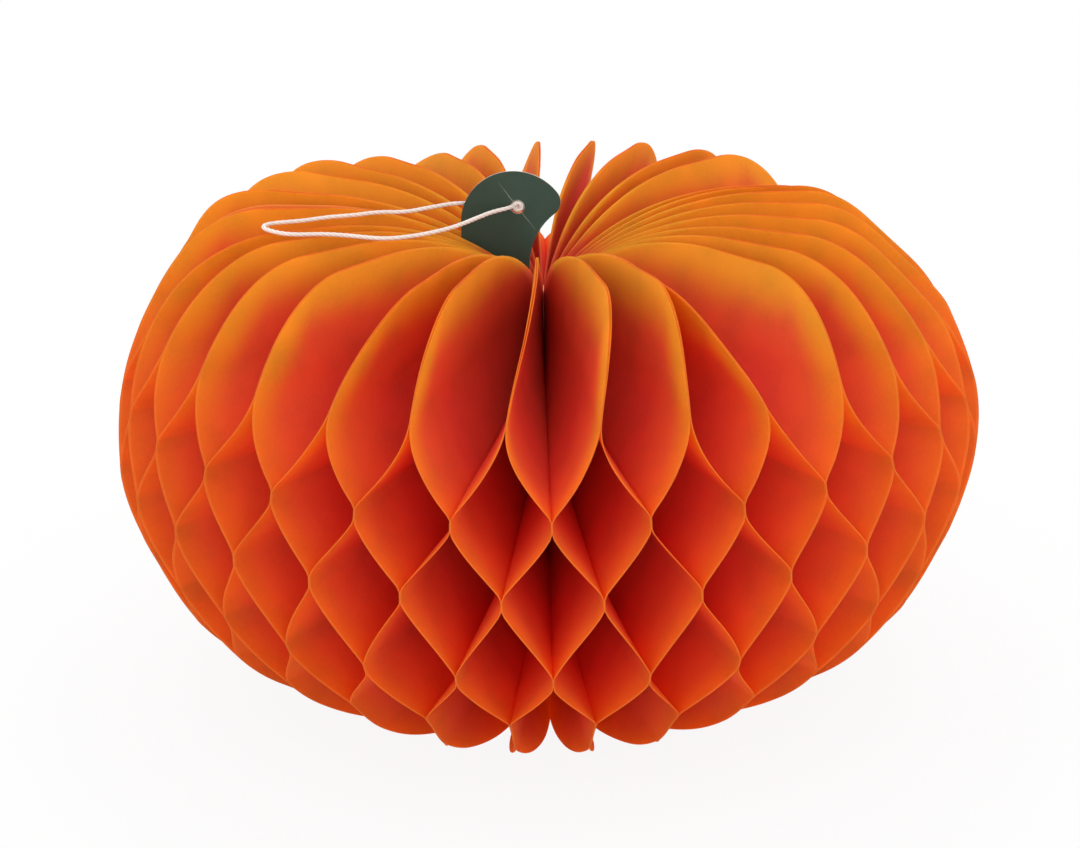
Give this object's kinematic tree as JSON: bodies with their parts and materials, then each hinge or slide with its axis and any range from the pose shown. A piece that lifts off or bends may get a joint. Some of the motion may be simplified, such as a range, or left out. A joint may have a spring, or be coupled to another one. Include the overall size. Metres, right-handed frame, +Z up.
{
  "type": "paper honeycomb pumpkin",
  "caption": "Oblate honeycomb pumpkin of glued wavy paper leaves round a bound spine, with cover boards, a punched stem card and a twine hanging loop; it folds like a fan.",
  "frame": {"origin": "on the spine axis, at the surface that the leaves stand on", "axes": "+Z up along the spine; the seam between the cover boards and the stem card lies in the XZ plane, on the -X side; +Y completes the right-handed frame"},
  "size_m": [0.2489, 0.25, 0.1519],
  "materials": {
    "orange_paper": "matte",
    "orange_card": "matte",
    "adhesive_foam": "matte",
    "binding_glue": "satin",
    "green_card": "matte",
    "cotton_twine": "matte"
  },
  "bodies": {
    "spine_and_cover_a": {"spine_binding": "binding_glue", "cover_board_a": "orange_card", "closure_pad_upper": "adhesive_foam", "closure_pad_lower": "adhesive_foam", "stem_card": "green_card", "hanging_string": "cotton_twine", "string_knot": "cotton_twine"},
    "cover_b": {"cover_board_b": "orange_card"},
    "pair_01": {"leaf_pair_01": "orange_paper"},
    "pair_02": {"leaf_pair_02": "orange_paper"},
    "pair_03": {"leaf_pair_03": "orange_paper"},
    "pair_04": {"leaf_pair_04": "orange_paper"},
    "pair_05": {"leaf_pair_05": "orange_paper"},
    "pair_06": {"leaf_pair_06": "orange_paper"},
    "pair_07": {"leaf_pair_07": "orange_paper"},
    "pair_08": {"leaf_pair_08": "orange_paper"},
    "pair_09": {"leaf_pair_09": "orange_paper"},
    "pair_10": {"leaf_pair_10": "orange_paper"},
    "pair_11": {"leaf_pair_11": "orange_paper"},
    "pair_12": {"leaf_pair_12": "orange_paper"},
    "pair_13": {"leaf_pair_13": "orange_paper"},
    "pair_14": {"leaf_pair_14": "orange_paper"},
    "pair_15": {"leaf_pair_15": "orange_paper"},
    "pair_16": {"leaf_pair_16": "orange_paper"},
    "pair_17": {"leaf_pair_17": "orange_paper"},
    "pair_18": {"leaf_pair_18": "orange_paper"},
    "pair_19": {"leaf_pair_19": "orange_paper"},
    "pair_20": {"leaf_pair_20": "orange_paper"},
    "pair_21": {"leaf_pair_21": "orange_paper"},
    "pair_22": {"leaf_pair_22": "orange_paper"},
    "pair_23": {"leaf_pair_23": "orange_paper"},
    "pair_24": {"leaf_pair_24": "orange_paper"},
    "pair_25": {"leaf_pair_25": "orange_paper"},
    "pair_26": {"leaf_pair_26": "orange_paper"},
    "pair_27": {"leaf_pair_27": "orange_paper"},
    "pair_28": {"leaf_pair_28": "orange_paper"},
    "pair_29": {"leaf_pair_29": "orange_paper"},
    "pair_30": {"leaf_pair_30": "orange_paper"}
  },
  "joints": [
    {"name": "cover_fold", "type": "hinge", "parent": "spine_and_cover_a", "child": "cover_b", "pos_m": [0, 0, 0], "axis": [0, 0, -1], "range_deg": [0, 352]},
    {"name": "pair_01_fold", "type": "hinge", "parent": "spine_and_cover_a", "child": "pair_01", "pos_m": [0, 0, 0], "axis": [0, 0, -1], "range_deg": [0, 4.9], "deforming": ["leaf_pair_01"]},
    {"name": "pair_02_fold", "type": "hinge", "parent": "spine_and_cover_a", "child": "pair_02", "pos_m": [0, 0, 0], "axis": [0, 0, -1], "range_deg": [0, 16.7], "deforming": ["leaf_pair_02"]},
    {"name": "pair_03_fold", "type": "hinge", "parent": "spine_and_cover_a", "child": "pair_03", "pos_m": [0, 0, 0], "axis": [0, 0, -1], "range_deg": [0, 28.5], "deforming": ["leaf_pair_03"]},
    {"name": "pair_04_fold", "type": "hinge", "parent": "spine_and_cover_a", "child": "pair_04", "pos_m": [0, 0, 0], "axis": [0, 0, -1], "range_deg": [0, 40.3], "deforming": ["leaf_pair_04"]},
    {"name": "pair_05_fold", "type": "hinge", "parent": "spine_and_cover_a", "child": "pair_05", "pos_m": [0, 0, 0], "axis": [0, 0, -1], "range_deg": [0, 52.1], "deforming": ["leaf_pair_05"]},
    {"name": "pair_06_fold", "type": "hinge", "parent": "spine_and_cover_a", "child": "pair_06", "pos_m": [0, 0, 0], "axis": [0, 0, -1], "range_deg": [0, 63.9], "deforming": ["leaf_pair_06"]},
    {"name": "pair_07_fold", "type": "hinge", "parent": "spine_and_cover_a", "child": "pair_07", "pos_m": [0, 0, 0], "axis": [0, 0, -1], "range_deg": [0, 75.7], "deforming": ["leaf_pair_07"]},
    {"name": "pair_08_fold", "type": "hinge", "parent": "spine_and_cover_a", "child": "pair_08", "pos_m": [0, 0, 0], "axis": [0, 0, -1], "range_deg": [0, 87.5], "deforming": ["leaf_pair_08"]},
    {"name": "pair_09_fold", "type": "hinge", "parent": "spine_and_cover_a", "child": "pair_09", "pos_m": [0, 0, 0], "axis": [0, 0, -1], "range_deg": [0, 99.3], "deforming": ["leaf_pair_09"]},
    {"name": "pair_10_fold", "type": "hinge", "parent": "spine_and_cover_a", "child": "pair_10", "pos_m": [0, 0, 0], "axis": [0, 0, -1], "range_deg": [0, 111.1], "deforming": ["leaf_pair_10"]},
    {"name": "pair_11_fold", "type": "hinge", "parent": "spine_and_cover_a", "child": "pair_11", "pos_m": [0, 0, 0], "axis": [0, 0, -1], "range_deg": [0, 122.9], "deforming": ["leaf_pair_11"]},
    {"name": "pair_12_fold", "type": "hinge", "parent": "spine_and_cover_a", "child": "pair_12", "pos_m": [0, 0, 0], "axis": [0, 0, -1], "range_deg": [0, 134.7], "deforming": ["leaf_pair_12"]},
    {"name": "pair_13_fold", "type": "hinge", "parent": "spine_and_cover_a", "child": "pair_13", "pos_m": [0, 0, 0], "axis": [0, 0, -1], "range_deg": [0, 146.5], "deforming": ["leaf_pair_13"]},
    {"name": "pair_14_fold", "type": "hinge", "parent": "spine_and_cover_a", "child": "pair_14", "pos_m": [0, 0, 0], "axis": [0, 0, -1], "range_deg": [0, 158.3], "deforming": ["leaf_pair_14"]},
    {"name": "pair_15_fold", "type": "hinge", "parent": "spine_and_cover_a", "child": "pair_15", "pos_m": [0, 0, 0], "axis": [0, 0, -1], "range_deg": [0, 170.1], "deforming": ["leaf_pair_15"]},
    {"name": "pair_16_fold", "type": "hinge", "parent": "spine_and_cover_a", "child": "pair_16", "pos_m": [0, 0, 0], "axis": [0, 0, -1], "range_deg": [0, 181.9], "deforming": ["leaf_pair_16"]},
    {"name": "pair_17_fold", "type": "hinge", "parent": "spine_and_cover_a", "child": "pair_17", "pos_m": [0, 0, 0], "axis": [0, 0, -1], "range_deg": [0, 193.7], "deforming": ["leaf_pair_17"]},
    {"name": "pair_18_fold", "type": "hinge", "parent": "spine_and_cover_a", "child": "pair_18", "pos_m": [0, 0, 0], "axis": [0, 0, -1], "range_deg": [0, 205.5], "deforming": ["leaf_pair_18"]},
    {"name": "pair_19_fold", "type": "hinge", "parent": "spine_and_cover_a", "child": "pair_19", "pos_m": [0, 0, 0], "axis": [0, 0, -1], "range_deg": [0, 217.3], "deforming": ["leaf_pair_19"]},
    {"name": "pair_20_fold", "type": "hinge", "parent": "spine_and_cover_a", "child": "pair_20", "pos_m": [0, 0, 0], "axis": [0, 0, -1], "range_deg": [0, 229.1], "deforming": ["leaf_pair_20"]},
    {"name": "pair_21_fold", "type": "hinge", "parent": "spine_and_cover_a", "child": "pair_21", "pos_m": [0, 0, 0], "axis": [0, 0, -1], "range_deg": [0, 240.9], "deforming": ["leaf_pair_21"]},
    {"name": "pair_22_fold", "type": "hinge", "parent": "spine_and_cover_a", "child": "pair_22", "pos_m": [0, 0, 0], "axis": [0, 0, -1], "range_deg": [0, 252.7], "deforming": ["leaf_pair_22"]},
    {"name": "pair_23_fold", "type": "hinge", "parent": "spine_and_cover_a", "child": "pair_23", "pos_m": [0, 0, 0], "axis": [0, 0, -1], "range_deg": [0, 264.5], "deforming": ["leaf_pair_23"]},
    {"name": "pair_24_fold", "type": "hinge", "parent": "spine_and_cover_a", "child": "pair_24", "pos_m": [0, 0, 0], "axis": [0, 0, -1], "range_deg": [0, 276.3], "deforming": ["leaf_pair_24"]},
    {"name": "pair_25_fold", "type": "hinge", "parent": "spine_and_cover_a", "child": "pair_25", "pos_m": [0, 0, 0], "axis": [0, 0, -1], "range_deg": [0, 288.1], "deforming": ["leaf_pair_25"]},
    {"name": "pair_26_fold", "type": "hinge", "parent": "spine_and_cover_a", "child": "pair_26", "pos_m": [0, 0, 0], "axis": [0, 0, -1], "range_deg": [0, 299.9], "deforming": ["leaf_pair_26"]},
    {"name": "pair_27_fold", "type": "hinge", "parent": "spine_and_cover_a", "child": "pair_27", "pos_m": [0, 0, 0], "axis": [0, 0, -1], "range_deg": [0, 311.7], "deforming": ["leaf_pair_27"]},
    {"name": "pair_28_fold", "type": "hinge", "parent": "spine_and_cover_a", "child": "pair_28", "pos_m": [0, 0, 0], "axis": [0, 0, -1], "range_deg": [0, 323.5], "deforming": ["leaf_pair_28"]},
    {"name": "pair_29_fold", "type": "hinge", "parent": "spine_and_cover_a", "child": "pair_29", "pos_m": [0, 0, 0], "axis": [0, 0, -1], "range_deg": [0, 335.3], "deforming": ["leaf_pair_29"]},
    {"name": "pair_30_fold", "type": "hinge", "parent": "spine_and_cover_a", "child": "pair_30", "pos_m": [0, 0, 0], "axis": [0, 0, -1], "range_deg": [0, 347.1], "deforming": ["leaf_pair_30"]}
  ],
  "couplings": [
    {"joint": "pair_01_fold", "follows": "cover_fold", "ratio": 0.01392},
    {"joint": "pair_02_fold", "follows": "cover_fold", "ratio": 0.047443},
    {"joint": "pair_03_fold", "follows": "cover_fold", "ratio": 0.080966},
    {"joint": "pair_04_fold", "follows": "cover_fold", "ratio": 0.11449},
    {"joint": "pair_05_fold", "follows": "cover_fold", "ratio": 0.14801},
    {"joint": "pair_06_fold", "follows": "cover_fold", "ratio": 0.18153},
    {"joint": "pair_07_fold", "follows": "cover_fold", "ratio": 0.21506},
    {"joint": "pair_08_fold", "follows": "cover_fold", "ratio": 0.24858},
    {"joint": "pair_09_fold", "follows": "cover_fold", "ratio": 0.2821},
    {"joint": "pair_10_fold", "follows": "cover_fold", "ratio": 0.31562},
    {"joint": "pair_11_fold", "follows": "cover_fold", "ratio": 0.34915},
    {"joint": "pair_12_fold", "follows": "cover_fold", "ratio": 0.38267},
    {"joint": "pair_13_fold", "follows": "cover_fold", "ratio": 0.41619},
    {"joint": "pair_14_fold", "follows": "cover_fold", "ratio": 0.44972},
    {"joint": "pair_15_fold", "follows": "cover_fold", "ratio": 0.48324},
    {"joint": "pair_16_fold", "follows": "cover_fold", "ratio": 0.51676},
    {"joint": "pair_17_fold", "follows": "cover_fold", "ratio": 0.55028},
    {"joint": "pair_18_fold", "follows": "cover_fold", "ratio": 0.58381},
    {"joint": "pair_19_fold", "follows": "cover_fold", "ratio": 0.61733},
    {"joint": "pair_20_fold", "follows": "cover_fold", "ratio": 0.65085},
    {"joint": "pair_21_fold", "follows": "cover_fold", "ratio": 0.68437},
    {"joint": "pair_22_fold", "follows": "cover_fold", "ratio": 0.7179},
    {"joint": "pair_23_fold", "follows": "cover_fold", "ratio": 0.75142},
    {"joint": "pair_24_fold", "follows": "cover_fold", "ratio": 0.78494},
    {"joint": "pair_25_fold", "follows": "cover_fold", "ratio": 0.81847},
    {"joint": "pair_26_fold", "follows": "cover_fold", "ratio": 0.85199},
    {"joint": "pair_27_fold", "follows": "cover_fold", "ratio": 0.88551},
    {"joint": "pair_28_fold", "follows": "cover_fold", "ratio": 0.91903},
    {"joint": "pair_29_fold", "follows": "cover_fold", "ratio": 0.95256},
    {"joint": "pair_30_fold", "follows": "cover_fold", "ratio": 0.98608}
  ]
}
